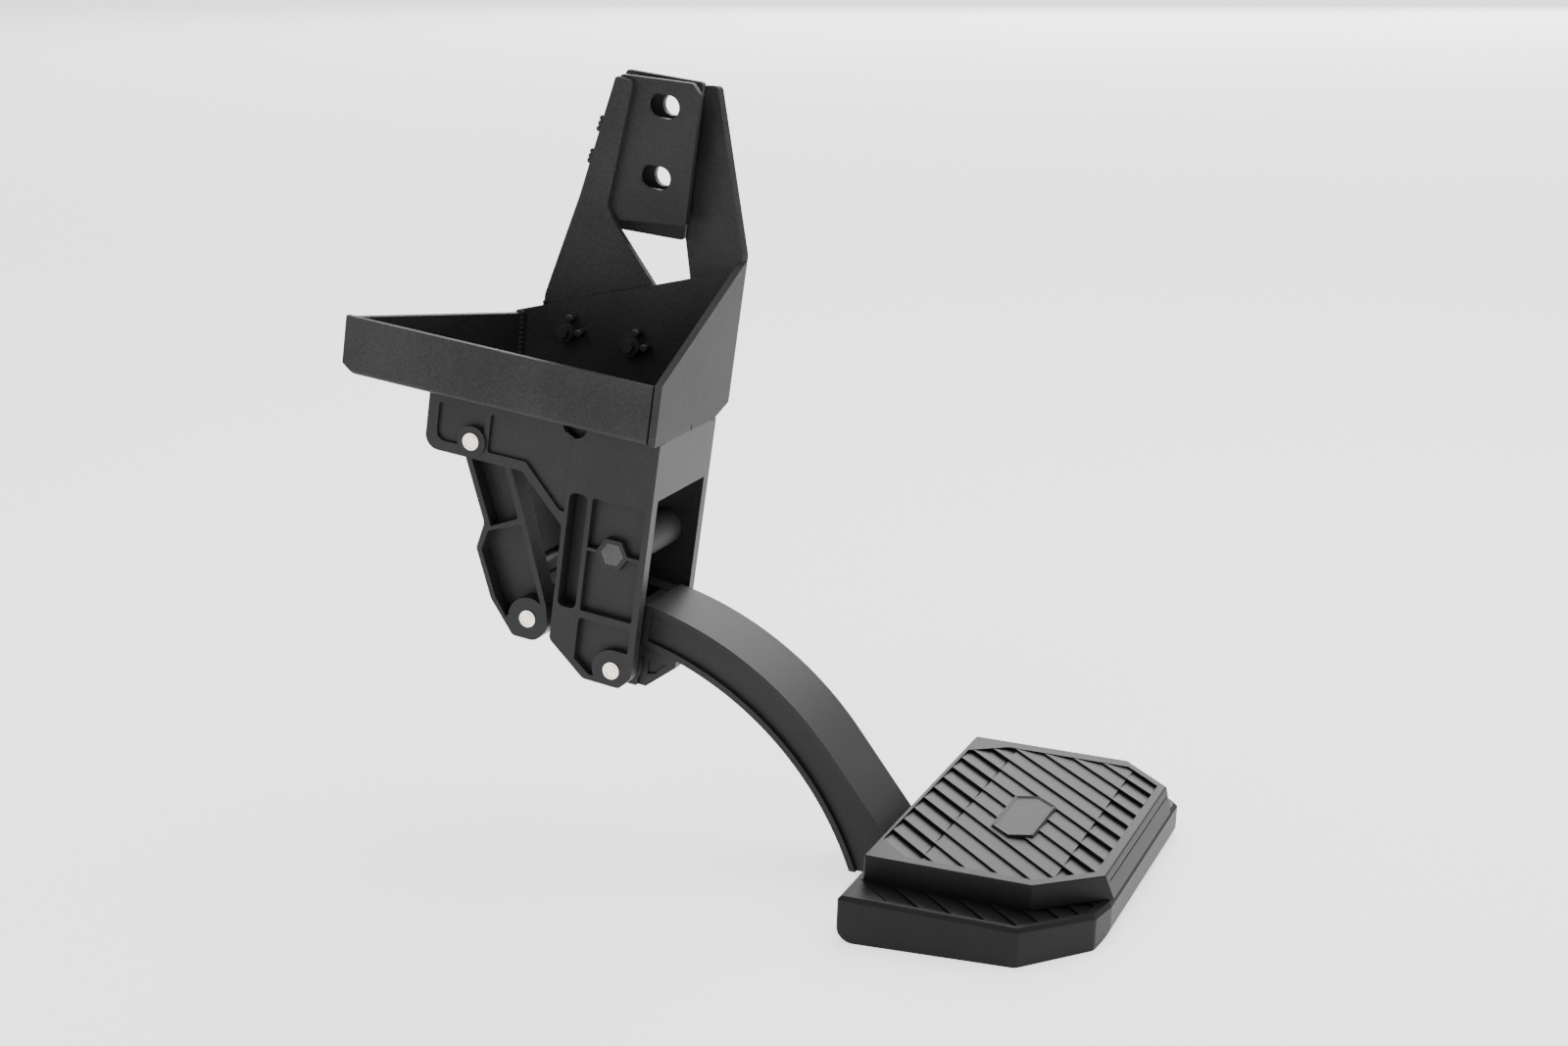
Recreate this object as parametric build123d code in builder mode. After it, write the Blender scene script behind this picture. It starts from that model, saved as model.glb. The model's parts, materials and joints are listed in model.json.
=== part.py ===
from build123d import *
import math
import os

os.makedirs("parts", exist_ok=True)

# Bolt-on folding tailgate step. Millimetres, +X outward from the truck, +Z up, Y across the step.
# The origin is the middle of the two frame-bolt holes on the rear clamp plate's front face.

# ---- Places ------------------------------------------------------------------
# Side profiles are drawn as (x, z) from the arm's hinge pin; depths run from the housing's near face.
hinge_x = 73.0
hinge_z = -399.0
near_y = -157.0
width = 112.0
mid = width / 2

upper_pin = (-143.3, 158.5)
strut_pin = (-83.2, 19.4)
hinge_pin = (0.0, 0.0)
link_pin = (0.0, 26.0)
stop_bar = (-11.7, 94.9)
heel_bar = (-45.0, 66.0)

# ---- Housing and pins ---------------------------------------------------------
side_t = 10.0
front_x = 17.5
housing_top = 192.0
pin_r = 7.0
bush_r = 9.0
run_gap = 0.05
washer_t = 2.0
rubber_r = 15.5

# ---- Strut link and drag links ------------------------------------------------
cheek_y = side_t + washer_t
cheek_t = 19.0
drag_y = 42.0
drag_t = 8.0
link_pin_r = 6.0
open_pivot_r = 8.3

# ---- Arm -----------------------------------------------------------------------
lug_y = 24.0
lug_t = 17.0
flange_y = 22.0
web_y = 26.0
arm_start_x = 14.0
arm_wall = 7.0
arm_top = [(14.0, 53.3), (100.0, 30.0), (185.0, -28.5)]
arm_low = [(14.0, 19.5), (126.0, -22.5), (216.0, -124.0)]
arm_end_u = 240.0
arm_end_n = -143.0

# ---- Step pad, in its own pitched frame: u outward, n up ------------------------
pitch = 6.19
tread_n = -91.0
ledge_n = -110.5
pad_u = 232.0
tread_u = 239.0
tread_end_u = 415.0
tread_foot_u = 421.2
tread_y = (-59.6, 231.0)
base_end_u = 422.0
base_y = (-98.0, 234.0)
base_low_n = -147.0

# ---- Mounting bracket ------------------------------------------------------------
plate_t = 6.0
sheet_t = 5.0
tray_y = -11.0
tray_x = -260.0
wall_top = 239.0
gusset_y = 125.0
bend_y = 135.0
tower_y = gusset_y + plate_t
wing_angle = 65.0
slotted_y = 137.0
rear_y = -near_y
clamp_bolts_x = -73.0
clamp_bolts_z = (370.0, 428.0)
slot_length = 28.0
slot_width = 19.0
frame_hole_r = 9.0
bracket_bolts = [(-105, 30), (-105, 82), (-20, 30), (-20, 82)]
bolt_r = 5.0
bolt_hole_r = 5.3


def across(y):
    """Side-profile plane at depth y; extrude a negative amount to go away from the near face."""
    return Plane(origin=(hinge_x, near_y + y, hinge_z), x_dir=(1, 0, 0), z_dir=(0, -1, 0))


def flat(z):
    """Plan-view plane at height z above the hinge pin, with y from the near face."""
    return Plane(origin=(hinge_x, near_y, hinge_z + z), x_dir=(1, 0, 0), z_dir=(0, 0, 1))


s = math.radians(pitch)
u_dir = (math.cos(s), 0, math.sin(s))
n_dir = (-math.sin(s), 0, math.cos(s))
pad_up = Axis((0, 0, 0), n_dir)


def pad_flat(n):
    """Plane parallel to the tread at height n in the step's pitched frame."""
    origin = (hinge_x + n * n_dir[0], near_y, hinge_z + n * n_dir[2])
    return Plane(origin=origin, x_dir=u_dir, z_dir=n_dir)


def pad_side(y):
    """Side-profile plane of the step at depth y, drawn as (u, n)."""
    return Plane(origin=(hinge_x, near_y + y, hinge_z), x_dir=u_dir, z_dir=(0, -1, 0))


def pad_end(u):
    """Plane across the step at distance u, drawn as (y, n)."""
    origin = (hinge_x + u * u_dir[0], near_y, hinge_z + u * u_dir[2])
    return Plane(origin=origin, x_dir=(0, 1, 0), z_dir=u_dir)


mid_plane = Plane(origin=(hinge_x, near_y + mid, hinge_z), x_dir=(1, 0, 0), z_dir=(0, -1, 0))


def save(name, part):
    part.label = name
    export_step(part, "parts/" + name + ".step")


def rods(spots, y, length, radius, bore=0.0, both=False):
    """Round pieces along Y at (x, z) spots; both adds their twins across the middle of the step."""
    with BuildPart() as made:
        with BuildSketch(across(y)):
            with Locations(*spots):
                Circle(radius)
                if bore:
                    Circle(bore, mode=Mode.SUBTRACT)
        extrude(amount=-length)
        if both:
            mirror(about=mid_plane)
    return made.part


# ==== Housing: one casting with two ribbed sides, a front wall and a top =========
side_points = [
    (-185, housing_top), (-185, 144.3), (-97, 144.3), (-57.5, 108), (-57, 12.5), (-24, -13),
    (8, -13.5), (front_x, -3), (front_x, housing_top),
]
side_radii = [2, 12, 8, 5, 6, 6, 6, 8, 1]
pocket_depth = 6.5
shelf_depth = 3.0
slot_depth = 15.0
box_t = 19.0
boss_proud = 2.0
pocket_left = -33.5
pocket_right = 12.0
pocket_mid = (pocket_left + pocket_right) / 2
hex_rim = 24.0
hex_head = 17.0
hex_depth = 5.5
stop_hole_r = 5.2
front_wall_t = 9.5
window_top = 144.0
top_wall_t = 10.0

with BuildPart() as housing:
    with BuildSketch(across(0)):
        with BuildLine():
            FilletPolyline(*side_points, radius=side_radii, close=True)
        make_face()
    extrude(amount=-side_t)
    # Thicker box section behind the long slot
    with BuildSketch(across(side_t)):
        with BuildLine():
            Polyline((-57, 24), (-57, 137), (-48, 146), (-33, 146), (-33, 30), close=True)
        make_face()
    extrude(amount=-(box_t - side_t))
    # Round boss that stands proud round the upper pin
    with BuildSketch(across(-boss_proud)):
        with Locations(upper_pin):
            Circle(12.5)
    extrude(amount=-boss_proud)
    # Long vertical slot
    with BuildSketch(across(0)):
        with Locations((-45.5, 90)):
            RectangleRounded(16, 95, 5)
    extrude(amount=-slot_depth, mode=Mode.SUBTRACT)
    # Two pockets above and below the stop bar's rib, and one round the hinge boss
    with BuildSketch(across(0)):
        with Locations((pocket_mid, 90)):
            RectangleRounded(pocket_right - pocket_left, 94, 2)
        with Locations((pocket_mid, stop_bar[1])):
            Rectangle(60, 2.6, mode=Mode.SUBTRACT)
        with Locations(stop_bar):
            RegularPolygon(hex_rim / 2, 6, major_radius=False, mode=Mode.SUBTRACT)
        with BuildLine():
            FilletPolyline((pocket_left, 37), (pocket_left, 2), (-19, -8.5), (pocket_right, -8.5),
                           (pocket_right, 37), radius=2.5, close=True)
        make_face()
        Circle(17, mode=Mode.SUBTRACT)
        with Locations((9, 3)):
            Rectangle(18, 28, mode=Mode.SUBTRACT)
    extrude(amount=-pocket_depth, mode=Mode.SUBTRACT)
    # Shallow recesses on the shelf, either side of the rib over the upper pin
    with BuildSketch(across(0)):
        with BuildLine():
            FilletPolyline((-175.5, 184), (-175.5, 153), (-133.5, 153), (-133.5, 184),
                           radius=[2, 8, 2, 2], close=True)
        make_face()
        with BuildLine():
            FilletPolyline((-129, 184), (-129, 152.5), (-95, 152.5), (-62, 121), (-56.5, 119),
                           (-56.5, 184), radius=2, close=True)
        make_face()
        with Locations(upper_pin):
            Circle(12.5, mode=Mode.SUBTRACT)
    extrude(amount=-shelf_depth, mode=Mode.SUBTRACT)
    # Hex recess that holds the stop bar's bolt head, and its hole
    with BuildSketch(across(0)):
        with Locations(stop_bar):
            RegularPolygon(hex_head / 2 + 0.1, 6, major_radius=False)
    extrude(amount=-hex_depth, mode=Mode.SUBTRACT)
    with BuildSketch(across(0)):
        with Locations(stop_bar):
            Circle(stop_hole_r)
    extrude(amount=-side_t, mode=Mode.SUBTRACT)
    # Half-round notch under the bracket's front flange
    with BuildSketch(across(0)):
        with Locations((-55.5, housing_top)):
            Circle(11)
    extrude(amount=-side_t, mode=Mode.SUBTRACT)
    mirror(about=mid_plane)
    # Front wall above the arm's window, top wall, and the cast bar that the arm's heel rests under
    with BuildSketch(across(side_t)):
        with Locations((front_x - front_wall_t / 2, (window_top + housing_top) / 2)):
            Rectangle(front_wall_t, housing_top - window_top)
        with Locations(((-175 + front_x) / 2, housing_top - top_wall_t / 2)):
            Rectangle(front_x + 175, top_wall_t)
    extrude(amount=-(width - 2 * side_t))
    with BuildSketch(across(box_t)):
        with Locations(heel_bar):
            Circle(8)
    extrude(amount=-(width - 2 * box_t))
    # Pin bores and the holes for the bracket bolts
    with BuildSketch(across(-boss_proud)):
        with Locations(upper_pin, hinge_pin):
            Circle(pin_r)
    extrude(amount=-(width + 2 * boss_proud), mode=Mode.SUBTRACT)
    with BuildSketch(flat(housing_top)):
        with Locations(*bracket_bolts):
            Circle(bolt_hole_r)
    extrude(amount=-top_wall_t - 2, mode=Mode.SUBTRACT)
save("housing", housing.part)

# ==== Pins, washers and bushes =====================================================
groove_r = 5.4
groove_w = 0.7
end_proud = 1.0


def ringed_pin(name, spot, y, length, radius):
    """A hard pin with a fine ring groove turned in each end face."""
    with BuildPart() as pin:
        with BuildSketch(across(y)):
            with Locations(spot):
                Circle(radius)
        extrude(amount=-length)
        for face_y, sign in ((y, -1), (y + length, 1)):
            with BuildSketch(across(face_y)):
                with Locations(spot):
                    Circle(groove_r)
                    Circle(groove_r - groove_w, mode=Mode.SUBTRACT)
            extrude(amount=sign * groove_w, mode=Mode.SUBTRACT)
    save(name, pin.part)


boss_end = boss_proud + end_proud
ringed_pin("upper_pin", upper_pin, -boss_end, width + 2 * boss_end, pin_r)
ringed_pin("hinge_pin", hinge_pin, -end_proud, width + 2 * end_proud, pin_r)
ringed_pin("strut_pin", strut_pin, cheek_y - end_proud, width - 2 * (cheek_y - end_proud), pin_r)

washer_r = 13.0
washer_bore = pin_r + 0.2
spacer_r = 10.5
spacer_gap = 0.2
save("upper_pin_washers", rods([upper_pin], side_t + 0.1, washer_t - 0.2, washer_r, washer_bore, both=True))
save("hinge_pin_washers", rods([hinge_pin], side_t + 0.1, washer_t - 0.2, washer_r, washer_bore, both=True))
save("upper_pin_bushes", rods([upper_pin], cheek_y, cheek_t, bush_r, pin_r + run_gap, both=True))
save("hinge_bushes", rods([hinge_pin], lug_y, lug_t, bush_r, pin_r + run_gap, both=True))
save("drag_link_bushes", rods([strut_pin], drag_y, drag_t, bush_r, pin_r + run_gap, both=True))
strut_spacer_y = cheek_y + cheek_t + spacer_gap
strut_spacer_l = drag_y - cheek_y - cheek_t - 2 * spacer_gap
hinge_spacer_l = lug_y - cheek_y - 2 * spacer_gap
save("strut_pin_spacers", rods([strut_pin], strut_spacer_y, strut_spacer_l, spacer_r, washer_bore, both=True))
hinge_spacer_y = cheek_y + spacer_gap
save("hinge_pin_spacers", rods([hinge_pin], hinge_spacer_y, hinge_spacer_l, spacer_r, washer_bore, both=True))

# ==== Stop bar that the arm folds up against =======================================
stop_bolt_r = 5.0
stop_tube_r = 8.0
head_gap = 0.3
with BuildPart() as stop_bolt:
    with BuildSketch(across(head_gap)):
        with Locations(stop_bar):
            RegularPolygon(hex_head / 2, 6, major_radius=False)
    extrude(amount=-(hex_depth - head_gap))
    with BuildSketch(across(hex_depth)):
        with Locations(stop_bar):
            Circle(stop_bolt_r)
    extrude(amount=-(width - hex_depth - 1))
save("stop_bar_bolt", stop_bolt.part)

with BuildPart() as stop_nut:
    with BuildSketch(across(width - hex_depth)):
        with Locations(stop_bar):
            RegularPolygon(hex_head / 2, 6, major_radius=False)
            Circle(stop_bolt_r, mode=Mode.SUBTRACT)
    extrude(amount=-(hex_depth - 2 * head_gap))
save("stop_bar_nut", stop_nut.part)
inner_width = width - 2 * side_t
save("stop_bar_tube", rods([stop_bar], side_t, inner_width, stop_tube_r, stop_hole_r))
save("stop_bar_rubber", rods([stop_bar], side_t + 0.5, inner_width - 1, rubber_r, stop_tube_r))

# ==== Strut link: two deep cheeks joined by a tie bar ===============================
strut_points = [
    (-160, 158), (-153, 139), (-131, 90), (-135.7, 67.6), (-118, 28.4), (-95, 2.1), (-74, 2.1),
    (-65, 14), (-68, 32.7), (-94.8, 100), (-112.5, 140), (-127, 160),
]
strut_radii = [6, 14, 8, 5, 14, 5, 12, 8, 20, 10, 14, 6]
cheek_floor = 5.0
tie_spot = (-90.5, 55.0)

with BuildPart() as strut:
    with BuildSketch(across(cheek_y)):
        with BuildLine():
            FilletPolyline(*strut_points, radius=strut_radii, close=True)
        make_face()
        with Locations(upper_pin):
            Circle(16)
    extrude(amount=-cheek_t)
    with BuildSketch(across(cheek_y)):
        with BuildLine():
            FilletPolyline((-148.5, 141), (-126.3, 91.5), (-125.2, 88.2), (-101.6, 100.3), (-118.3, 141),
                           radius=[1, 3, 1, 2, 1], close=True)
        make_face()
        with BuildLine():
            FilletPolyline((-126.8, 84), (-131, 67.3), (-114, 30.5), (-94, 5), (-76, 14), (-73, 33),
                           (-98.6, 96.5), radius=[1, 4, 10, 2, 2, 8, 1.5], close=True)
        make_face()
        with Locations(strut_pin):
            Circle(17.5, mode=Mode.SUBTRACT)
        with Locations((-82, 6)):
            Rectangle(40, 24, mode=Mode.SUBTRACT)
    extrude(amount=-(cheek_t - cheek_floor), mode=Mode.SUBTRACT)
    mirror(about=mid_plane)
    with BuildSketch(across(cheek_y + cheek_t)):
        with Locations(tie_spot):
            Circle(9)
    extrude(amount=-(width - 2 * (cheek_y + cheek_t)))
    with BuildSketch(across(cheek_y)):
        with Locations(upper_pin):
            Circle(bush_r)
        with Locations(strut_pin):
            Circle(pin_r)
    extrude(amount=-(width - 2 * cheek_y), mode=Mode.SUBTRACT)
save("strut_link", strut.part)

# ==== Drag links: a hidden pair from the strut's lower pin to the arm's knuckle ======
for side, link_y in (("near", drag_y), ("far", width - drag_y - drag_t)):
    with BuildPart() as drag:
        with BuildSketch(across(link_y)):
            with Locations(strut_pin):
                Circle(14.5)
            with Locations(link_pin):
                Circle(11)
            with BuildLine():
                Polyline((-82, 33.8), (0, 37), (1, 15), (-84, 4.9), close=True)
            make_face()
            with Locations(strut_pin):
                Circle(bush_r, mode=Mode.SUBTRACT)
            with Locations(link_pin):
                Circle(link_pin_r, mode=Mode.SUBTRACT)
            with Locations((-42, 23)):
                SlotOverall(44, 9, rotation=5, mode=Mode.SUBTRACT)
        extrude(amount=-drag_t)
    save("drag_link_" + side, drag.part)

link_washer_y = lug_y - 1.8
link_washer_t = 1.4
sleeve_r = 9.0
with BuildPart() as link_bolt:
    with BuildSketch(across(link_washer_y)):
        with Locations(link_pin):
            Circle(link_pin_r)
    extrude(amount=-(width - 2 * link_washer_y))
save("link_pin", link_bolt.part)
link_gap = width - 2 * (drag_y + drag_t)
save("link_pin_sleeve", rods([link_pin], drag_y + drag_t, link_gap, sleeve_r, link_pin_r))
save("link_pin_washers", rods([link_pin], link_washer_y, link_washer_t, spacer_r, link_pin_r, both=True))

# ==== Arm: curved box beam with wide flanges ===========================================
web_inset = 5.0
hollow_y = web_y + arm_wall
tip_length = 130.0
# Depth range and inset from the outline of each cut: whole beam, two side recesses, hollow inside
arm_layers = [
    (flange_y, width - flange_y, 0, Mode.ADD),
    (flange_y, web_y, web_inset, Mode.SUBTRACT),
    (width - web_y, width - flange_y, web_inset, Mode.SUBTRACT),
    (hollow_y, width - hollow_y, arm_wall, Mode.SUBTRACT),
]

with BuildPart() as arm:
    for first_y, last_y, inset, mode in arm_layers:
        with BuildSketch(across(first_y)):
            with BuildLine():
                upper = ThreePointArc(*arm_top)
                tip = PolarLine(upper @ 1, tip_length, direction=upper % 1)
                lower = ThreePointArc(*arm_low)
                Polyline(tip @ 1, (260, -150), lower @ 1)
                Line(upper @ 0, lower @ 0)
            make_face()
            if inset:
                offset(amount=-inset)
        extrude(amount=first_y - last_y, mode=mode)
    # The hollow is open at the hinge end
    with BuildSketch(across(hollow_y)):
        with Locations((arm_start_x + arm_wall / 2, 32.8)):
            Rectangle(arm_wall + 8, 11)
    extrude(amount=2 * hollow_y - width, mode=Mode.SUBTRACT)
    # The outer end is cut square to the step, and level along its lower flange
    with BuildSketch(pad_side(0)):
        with Locations((arm_end_u + 50, arm_end_n)):
            Rectangle(100, 200)
        with Locations((arm_end_u, arm_end_n - 40)):
            Rectangle(300, 80)
    extrude(amount=-width, mode=Mode.SUBTRACT)
save("arm_beam", arm.part)

# ==== Knuckle: fork lugs on the hinge pin, heel, and spigot inside the arm ===============
lug_end_x = arm_start_x - 0.3
block_y = 28.0
low_curve = ThreePointArc(*arm_low)
spigot_y = hollow_y + 0.3
relief = [(19, 6), (36, 6), (27, -4), (20, -6)]
relief_depth = 2.5
with BuildPart() as knuckle:
    # Fork lug with the heel that bears on the housing's cast bar
    with BuildSketch(across(lug_y)):
        Circle(16.5)
        with Locations(link_pin):
            Circle(13.5)
        with BuildLine():
            FilletPolyline((-52, 38), (-52, 57.5), (lug_end_x, 52), (lug_end_x, -16.5), (0, -16.5),
                           (-16.4, 4), radius=[6, 3, 1, 1, 8, 8], close=True)
        make_face()
    extrude(amount=-lug_t)
    mirror(about=mid_plane)
    # Web that closes the gap between the lugs behind the beam's top edge
    with BuildSketch(across(lug_y + lug_t)):
        with BuildLine():
            Polyline((5.5, 40), (lug_end_x, 40), (lug_end_x, 51.5), (5.5, 52), close=True)
        make_face()
    extrude(amount=2 * (lug_y + lug_t) - width)
    # Spigot that fills the hollow end of the beam
    with BuildSketch(across(spigot_y)):
        with Locations((31, 32.8)):
            Rectangle(37, 10)
    extrude(amount=2 * spigot_y - width)
    # Foot under the lower flange
    with BuildSketch(across(block_y)):
        with Locations(low_curve.arc_center):
            Circle(low_curve.radius - 0.02)
        with BuildLine():
            Polyline((12.5, -16.5), (20, -16.5), (43, 4.7), (44, 30), (12.5, 30), close=True)
        make_face(mode=Mode.INTERSECT)
    extrude(amount=2 * block_y - width)
    # Shallow relief on each side of the foot
    for relief_y in (block_y, width - block_y - relief_depth):
        with BuildSketch(across(relief_y)):
            with BuildLine():
                Polyline(*relief, close=True)
            make_face()
        extrude(amount=-relief_depth, mode=Mode.SUBTRACT)
    with BuildSketch(across(0)):
        Circle(bush_r)
        with Locations(link_pin):
            Circle(open_pivot_r)
    extrude(amount=-width, mode=Mode.SUBTRACT)
save("knuckle", knuckle.part)

# ==== Arm's outer end: welded end plate, then the tongue that the step bolts to ==========
end_plate_t = 8.0
tongue_u = arm_end_u + end_plate_t
tongue_t = 6.0
tongue_n = ledge_n - 5.5
tongue_end_u = 400.0
plate_n = (-141.0, tongue_n - 0.5)
tongue_mid_n = sum(plate_n) / 2
end_bolts = [(flange_y + 10, -133), (mid, -133), (width - flange_y - 10, -133)]
end_bolt_r = 4.0
end_head = 13.0
end_head_h = 5.3

with BuildPart() as end_plate:
    with BuildSketch(pad_end(arm_end_u)):
        with Locations((mid, tongue_mid_n)):
            Rectangle(width - 2 * flange_y, plate_n[1] - plate_n[0])
        with Locations(*end_bolts):
            Circle(end_bolt_r, mode=Mode.SUBTRACT)
    extrude(amount=end_plate_t)
save("arm_end_plate", end_plate.part)

tread_screw_u = (285.0, 335.0, 385.0)
tread_screw_y = (36.0, 76.0)
tread_screws = [(u, y) for u in tread_screw_u for y in tread_screw_y]
screw_r = 3.0
with BuildPart() as tongue:
    with BuildSketch(pad_end(tongue_u)):
        with Locations((mid, tongue_mid_n)):
            Rectangle(width - 2 * flange_y, plate_n[1] - plate_n[0])
        with Locations(*end_bolts):
            Circle(end_bolt_r, mode=Mode.SUBTRACT)
    extrude(amount=tongue_t)
    with BuildSketch(pad_flat(tongue_n - tongue_t)):
        with Locations(((tongue_u + tongue_end_u) / 2, mid)):
            RectangleRounded(tongue_end_u - tongue_u, width - 2 * flange_y, 2)
        with Locations(*tread_screws):
            Circle(screw_r, mode=Mode.SUBTRACT)
    extrude(amount=tongue_t - 0.1)
save("step_tongue", tongue.part)

with BuildPart() as end_bolt_set:
    with BuildSketch(pad_end(tongue_u + tongue_t)):
        with Locations(*end_bolts):
            RegularPolygon(end_head / 2, 6, major_radius=False)
    extrude(amount=end_head_h)
    with BuildSketch(pad_end(arm_end_u + 0.5)):
        with Locations(*end_bolts):
            Circle(end_bolt_r)
    extrude(amount=end_plate_t + tongue_t - 0.5)
save("tongue_bolts", end_bolt_set.part)

# ==== Step: hollow moulded base with a lower ledge, and the ribbed tread on top =========
wall = 4.0
base_depth = ledge_n - base_low_n
base_low_outer_n = -138.0
base_outline = [
    (pad_u, base_y[0]), (371, base_y[0]), (417, -48), (base_end_u, -20),
    (base_end_u, 205), (397, base_y[1]), (pad_u, base_y[1]),
]
tread_outline = [
    (tread_u, tread_y[0]), (370, tread_y[0]), (tread_foot_u, -12),
    (tread_foot_u, 180), (372, tread_y[1]), (tread_u, tread_y[1]),
]
base_radii = [3, 6, 6, 8, 6, 6, 3]
tread_radii = [2, 1.5, 3, 3, 1.5, 2]
# Recessed fields that hold the slanted ribs, and the plain six-sided panel that stands in the upper one
tread_field = [
    (242, -22), (268, -48.5), (368, -48.5), (406.5, -13), (408, 184), (376, 217), (272, 217), (243, 195),
]
panel_outline = [(308.5, 40), (308.5, 108), (327, 116), (345.5, 100), (345.5, 32), (327, 24)]
ledge_field = [
    (237, -60), (267, -91), (368, -91), (408.5, -46), (412, -24), (tread_end_u, -10), (370, -59),
]
field_depth = 3.2
ledge_depth = 2.6
rib_t = 3.0
rib_us = (295.0, 358.0)
bay_y = (-12.0, 128.0)
bay_rib_top_n = -128.0
bay_rib_u = 262.0
arm_mouth = (18.0, width - 18.0)
base_chamfer = 3.0
top_chamfer = 0.9

with BuildPart() as base:
    with BuildSketch(pad_flat(base_low_n)):
        with BuildLine():
            FilletPolyline(*base_outline, radius=base_radii, close=True)
        make_face()
    extrude(amount=base_depth)
    chamfer(base.faces().sort_by(pad_up)[-1].edges(), base_chamfer)
    # Hollow from below, then ribs
    with BuildSketch(pad_flat(base_low_n)):
        with BuildLine():
            FilletPolyline(*base_outline, radius=base_radii, close=True)
        make_face()
        offset(amount=-wall)
    extrude(amount=base_depth - 5.5, mode=Mode.SUBTRACT)
    with BuildSketch(pad_flat(base_low_n)):
        for rib_y in (-52, *bay_y, 166, 204):
            with Locations(((pad_u + base_end_u) / 2, rib_y)):
                Rectangle(base_end_u - pad_u - 2 * wall + 1, rib_t)
        for rib_u in rib_us:
            with Locations((rib_u, (base_y[0] + bay_y[0]) / 2)):
                Rectangle(rib_t, bay_y[0] - base_y[0])
            with Locations((rib_u, (base_y[1] + bay_y[1]) / 2)):
                Rectangle(rib_t, base_y[1] - bay_y[1])
        with BuildLine():
            FilletPolyline(*base_outline, radius=base_radii, close=True)
        make_face(mode=Mode.INTERSECT)
    extrude(amount=base_depth - 4)
    # Lower ribs under the steel tongue
    with BuildSketch(pad_flat(base_low_n)):
        for rib_u in rib_us:
            with Locations((rib_u, sum(bay_y) / 2)):
                Rectangle(rib_t, bay_y[1] - bay_y[0])
        with Locations(((bay_rib_u + base_end_u) / 2, sum(bay_y) / 2)):
            Rectangle(base_end_u - bay_rib_u - 3, rib_t)
    extrude(amount=bay_rib_top_n - base_low_n)
    # The underside rises towards the outer end, and its lower corners are round
    with BuildSketch(pad_side(base_y[0])):
        with BuildLine():
            FilletPolyline((pad_u, ledge_n), (pad_u, base_low_n), (base_end_u, base_low_outer_n),
                           (base_end_u, ledge_n), radius=[0.5, 14, 8, 0.5], close=True)
        make_face()
    extrude(amount=base_y[0] - base_y[1], mode=Mode.INTERSECT)
    # Sunk field along the ledge
    with BuildSketch(pad_flat(ledge_n)):
        with BuildLine():
            Polyline(*ledge_field, close=True)
        make_face()
    extrude(amount=-ledge_depth, mode=Mode.SUBTRACT)
    # Mouth where the arm enters, and the screw holes
    with BuildSketch(pad_side(arm_mouth[0])):
        with Locations((pad_u, -129)):
            Rectangle(30, 40)
    extrude(amount=arm_mouth[0] - arm_mouth[1], mode=Mode.SUBTRACT)
    with BuildSketch(pad_flat(ledge_n)):
        with Locations(*tread_screws):
            Circle(screw_r + 0.3)
    extrude(amount=-6, mode=Mode.SUBTRACT)
save("step_base", base.part)

tread_depth = tread_n - ledge_n
tread_skin = 6.0
boss_r = 7.0
screw_head_r = 5.5
screw_head_h = 4.0
screw_length = 22.5
with BuildPart() as tread:
    with BuildSketch(pad_flat(ledge_n)):
        with BuildLine():
            FilletPolyline(*tread_outline, radius=tread_radii, close=True)
        make_face()
    extrude(amount=tread_depth)
    # The outer end slopes from the base's end up to the tread
    with BuildSketch(pad_side(tread_y[0])):
        with BuildLine():
            Polyline((tread_foot_u, ledge_n), (tread_end_u, tread_n), (tread_foot_u, tread_n), close=True)
        make_face()
    extrude(amount=tread_y[0] - tread_y[1], mode=Mode.SUBTRACT)
    chamfer(tread.faces().sort_by(pad_up)[-1].edges(), top_chamfer)
    # Sunk field with the panel left standing in its middle
    with BuildSketch(pad_flat(tread_n)):
        with BuildLine():
            Polyline(*tread_field, close=True)
        make_face()
        with BuildLine():
            Polyline(*panel_outline, close=True)
        make_face(mode=Mode.SUBTRACT)
    extrude(amount=-field_depth, mode=Mode.SUBTRACT)
    with BuildSketch(pad_flat(ledge_n)):
        with BuildLine():
            FilletPolyline(*tread_outline, radius=tread_radii, close=True)
        make_face()
        offset(amount=-wall)
        with Locations(*tread_screws):
            Circle(boss_r, mode=Mode.SUBTRACT)
        for rib_y in (-12, 128, 180):
            with Locations(((tread_u + tread_foot_u) / 2, rib_y)):
                Rectangle(tread_foot_u - tread_u, rib_t, mode=Mode.SUBTRACT)
    extrude(amount=tread_depth - tread_skin, mode=Mode.SUBTRACT)
    with BuildSketch(pad_flat(ledge_n)):
        with Locations(*tread_screws):
            Circle(screw_r)
    extrude(amount=12, mode=Mode.SUBTRACT)
save("step_tread", tread.part)

with BuildPart() as screws:
    with BuildSketch(pad_flat(tongue_n - tongue_t)):
        with Locations(*tread_screws):
            Circle(screw_head_r)
    extrude(amount=-screw_head_h)
    with BuildSketch(pad_flat(tongue_n - tongue_t)):
        with Locations(*tread_screws):
            Circle(screw_r)
    extrude(amount=screw_length)
save("tread_screws", screws.part)

# ==== Bracket tray: folded floor and front flange ==========================================
tray_floor = (housing_top, housing_top + sheet_t)
side_plate_x = front_x - plate_t
slant_end = (-176.0, gusset_y)
plate_gap = 0.3
flange_end_x = side_plate_x - 1.5
floor_end_x = side_plate_x - plate_gap

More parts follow.
